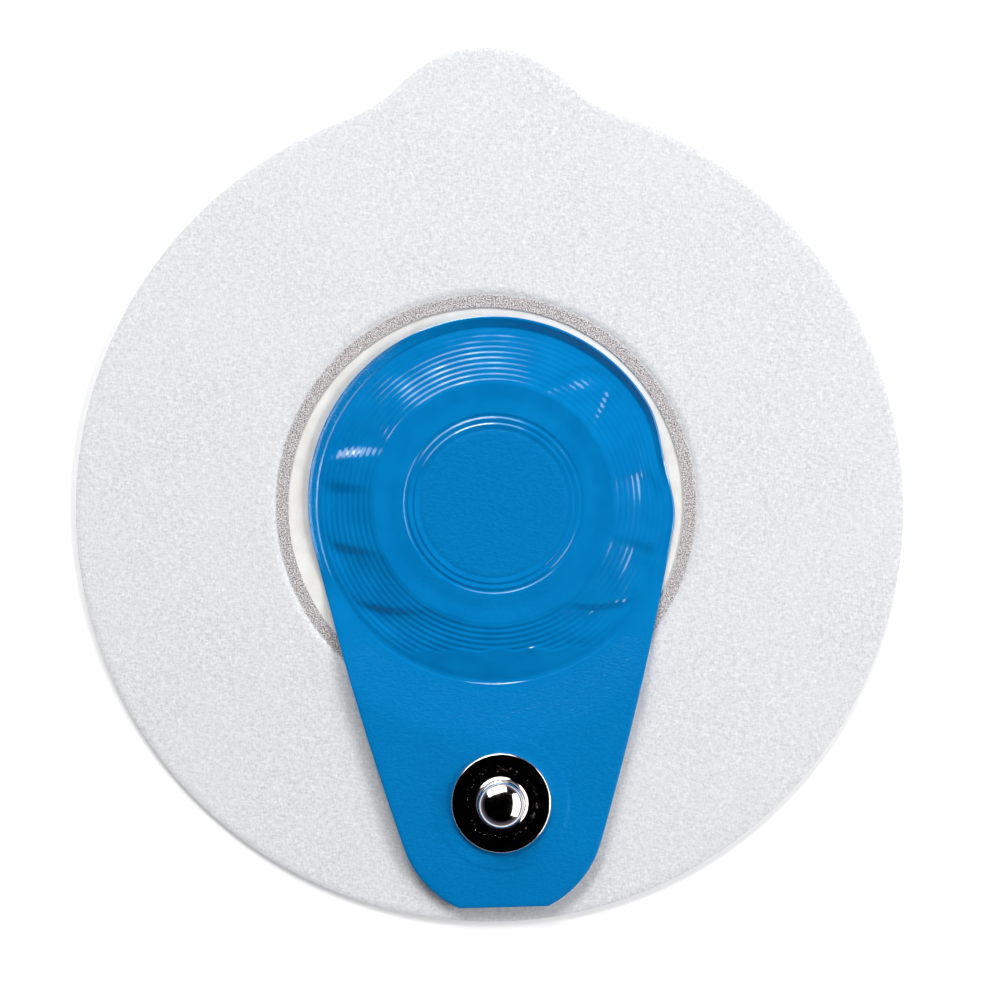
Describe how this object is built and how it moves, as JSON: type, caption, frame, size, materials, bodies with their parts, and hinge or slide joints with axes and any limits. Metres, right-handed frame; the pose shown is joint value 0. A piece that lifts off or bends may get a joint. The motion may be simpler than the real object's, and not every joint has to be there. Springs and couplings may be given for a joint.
{
  "type": "ecg electrode",
  "caption": "Disposable monitoring electrode: white nonwoven adhesive disc with pull tab, blue domed gel chamber and offset snap stud on a free flap.",
  "frame": {"origin": "centre of the round tape disc, on its skin side", "axes": "+Z away from the skin, +Y from the stud towards the pull tab, +X to the right with the tab up"},
  "size_m": [0.068, 0.0718, 0.0045],
  "materials": {
    "nonwoven": "matte bonded fibres",
    "adhesive": "tacky clear coat",
    "cup_plastic": "satin",
    "gel_foam": "wet open foam",
    "sensor_coat": "matte silver chloride coat",
    "carbon_film": "matte",
    "blue_film": "satin with a fine emboss",
    "clear_film": "satin",
    "nickel_plate": "polished",
    "washer_plastic": "matte"
  },
  "bodies": {
    "root": {"backing_tape": "nonwoven", "skin_adhesive": "adhesive", "gel_cup": "cup_plastic", "gel_sponge": "gel_foam", "sensor_disc": "sensor_coat", "conductor_strip": "carbon_film", "top_film": "blue_film", "flap_liner": "clear_film", "snap_stud": "nickel_plate", "stud_eyelet": "nickel_plate", "stiffening_washer": "washer_plastic"}
  },
  "joints": []
}
